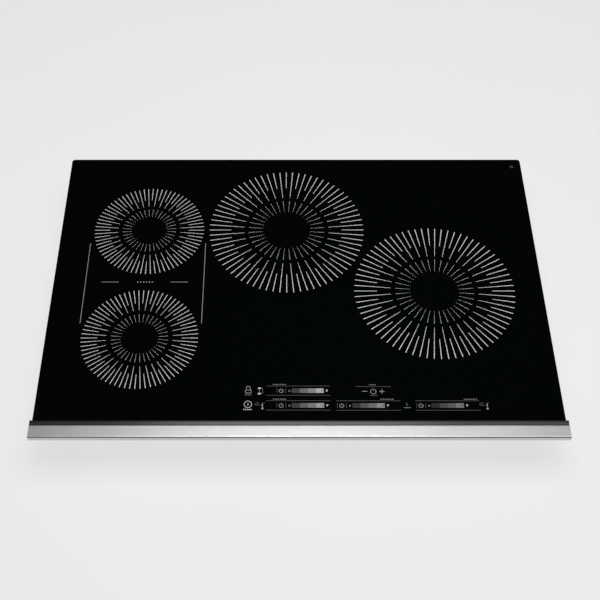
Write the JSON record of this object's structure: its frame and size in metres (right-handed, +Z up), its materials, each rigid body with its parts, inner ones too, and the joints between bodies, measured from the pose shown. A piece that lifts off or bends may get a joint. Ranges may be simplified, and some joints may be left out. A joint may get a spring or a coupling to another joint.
{
  "type": "electric induction cooktop",
  "caption": "Built-in electric induction cooktop: black glass panel with printed zones and touch controls, stainless front trim, steel burner box.",
  "frame": {"origin": "middle of the footprint, on the underside of the burner box", "axes": "+X to the user's right, -Y towards the user, +Z up through the glass"},
  "size_m": [0.778, 0.537, 0.0926],
  "materials": {
    "glass": "black ceramic glass, polished, opaque",
    "stainless": "brushed stainless, grain along the length",
    "seal": "black moulded strip, satin",
    "silicone": "black silicone",
    "foam": "dark closed-cell foam",
    "box_steel": "galvanised sheet, dull spangle",
    "zinc": "zinc plated",
    "aluminium": "mill finish",
    "copper": "lacquered copper litz",
    "ferrite": "sintered, dull",
    "mica": "pale mica paper",
    "carrier": "glass filled plastic",
    "sensor": "white ceramic cup",
    "spring_steel": "drawn wire",
    "board": "solder-masked circuit board",
    "parts": "moulded components",
    "capacitor": "sleeved and potted cans",
    "plastic": "black moulded plastic",
    "plastic_pale": "pale moulded plastic",
    "lead": "insulated lead"
  },
  "bodies": {
    "cooktop": {"glass_top": "glass", "front_trim": "stainless", "trim_seal": "seal", "bonding_bead": "silicone", "worktop_gasket": "foam", "burner_box": "box_steel", "intake_guards": "plastic", "coil_tray": "aluminium", "tray_posts": "zinc", "spring_posts": "zinc", "power_board_left": "board", "power_board_right": "board", "heat_sinks": "aluminium", "power_transistors": "parts", "board_capacitors": "capacitor", "board_chokes": "copper", "filter_board": "board", "board_posts": "plastic_pale", "control_housing": "plastic_pale", "touch_board": "board", "fan_motors": "zinc", "terminal_block": "plastic_pale", "junction_cover": "box_steel", "conduit_bushing": "zinc", "supply_harness": "lead", "bracket_screws": "zinc", "fan_housing_left": "plastic", "hold_down_bracket_left": "zinc", "fan_housing_right": "plastic", "hold_down_bracket_right": "zinc"},
    "fan_wheel_left": {"fan_rotor_left": "plastic_pale"},
    "clamp_head_left": {"clamp_pad_left": "plastic"},
    "clamp_stud_left": {"clamp_screw_left": "zinc"},
    "fan_wheel_right": {"fan_rotor_right": "plastic_pale"},
    "clamp_head_right": {"clamp_pad_right": "plastic"},
    "clamp_stud_right": {"clamp_screw_right": "zinc"},
    "coil_unit_left_rear": {"coil_carrier_left_rear": "carrier", "coil_winding_left_rear": "copper", "ferrite_bars_left_rear": "ferrite", "mica_sheet_left_rear": "mica", "heat_sensor_left_rear": "sensor", "carrier_springs_left_rear": "spring_steel"},
    "coil_unit_left_front": {"coil_carrier_left_front": "carrier", "coil_winding_left_front": "copper", "ferrite_bars_left_front": "ferrite", "mica_sheet_left_front": "mica", "heat_sensor_left_front": "sensor", "carrier_springs_left_front": "spring_steel"},
    "coil_unit_centre_rear": {"coil_carrier_centre_rear": "carrier", "coil_winding_centre_rear": "copper", "ferrite_bars_centre_rear": "ferrite", "mica_sheet_centre_rear": "mica", "heat_sensor_centre_rear": "sensor", "carrier_springs_centre_rear": "spring_steel"},
    "coil_unit_right_front": {"coil_carrier_right_front": "carrier", "coil_winding_right_front": "copper", "ferrite_bars_right_front": "ferrite", "mica_sheet_right_front": "mica", "heat_sensor_right_front": "sensor", "carrier_springs_right_front": "spring_steel"}
  },
  "joints": [
    {"name": "fan_spin_left", "type": "hinge", "parent": "cooktop", "child": "fan_wheel_left", "pos_m": [-0.225, 0.15, 0.016], "axis": [0, 0, 1], "continuous": true},
    {"name": "fan_spin_right", "type": "hinge", "parent": "cooktop", "child": "fan_wheel_right", "pos_m": [0.225, 0.15, 0.016], "axis": [0, 0, 1], "continuous": true},
    {"name": "clamp_lift_left", "type": "slide", "parent": "cooktop", "child": "clamp_head_left", "axis": [0, 0, 1], "range_m": [0, 0.012]},
    {"name": "clamp_turn_left", "type": "hinge", "parent": "clamp_head_left", "child": "clamp_stud_left", "pos_m": [-0.3705, 0.04, 0.02], "axis": [0, 0, 1], "range_deg": [0, 4320]},
    {"name": "clamp_lift_right", "type": "slide", "parent": "cooktop", "child": "clamp_head_right", "axis": [0, 0, 1], "range_m": [0, 0.012]},
    {"name": "clamp_turn_right", "type": "hinge", "parent": "clamp_head_right", "child": "clamp_stud_right", "pos_m": [0.3705, 0.04, 0.02], "axis": [0, 0, 1], "range_deg": [0, 4320]},
    {"name": "coil_float_left_rear", "type": "slide", "parent": "cooktop", "child": "coil_unit_left_rear", "axis": [0, 0, 1], "range_m": [-0.003, 0], "stiffness_N_per_m": 4000, "springref_m": 0.004, "deforming": ["carrier_springs_left_rear"]},
    {"name": "coil_float_left_front", "type": "slide", "parent": "cooktop", "child": "coil_unit_left_front", "axis": [0, 0, 1], "range_m": [-0.003, 0], "stiffness_N_per_m": 4000, "springref_m": 0.004, "deforming": ["carrier_springs_left_front"]},
    {"name": "coil_float_centre_rear", "type": "slide", "parent": "cooktop", "child": "coil_unit_centre_rear", "axis": [0, 0, 1], "range_m": [-0.003, 0], "stiffness_N_per_m": 6000, "springref_m": 0.004, "deforming": ["carrier_springs_centre_rear"]},
    {"name": "coil_float_right_front", "type": "slide", "parent": "cooktop", "child": "coil_unit_right_front", "axis": [0, 0, 1], "range_m": [-0.003, 0], "stiffness_N_per_m": 6000, "springref_m": 0.004, "deforming": ["carrier_springs_right_front"]}
  ],
  "couplings": [
    {"joint": "clamp_turn_left", "follows": "clamp_lift_left", "rad_per_m": 6283.2},
    {"joint": "clamp_turn_right", "follows": "clamp_lift_right", "rad_per_m": 6283.2}
  ]
}
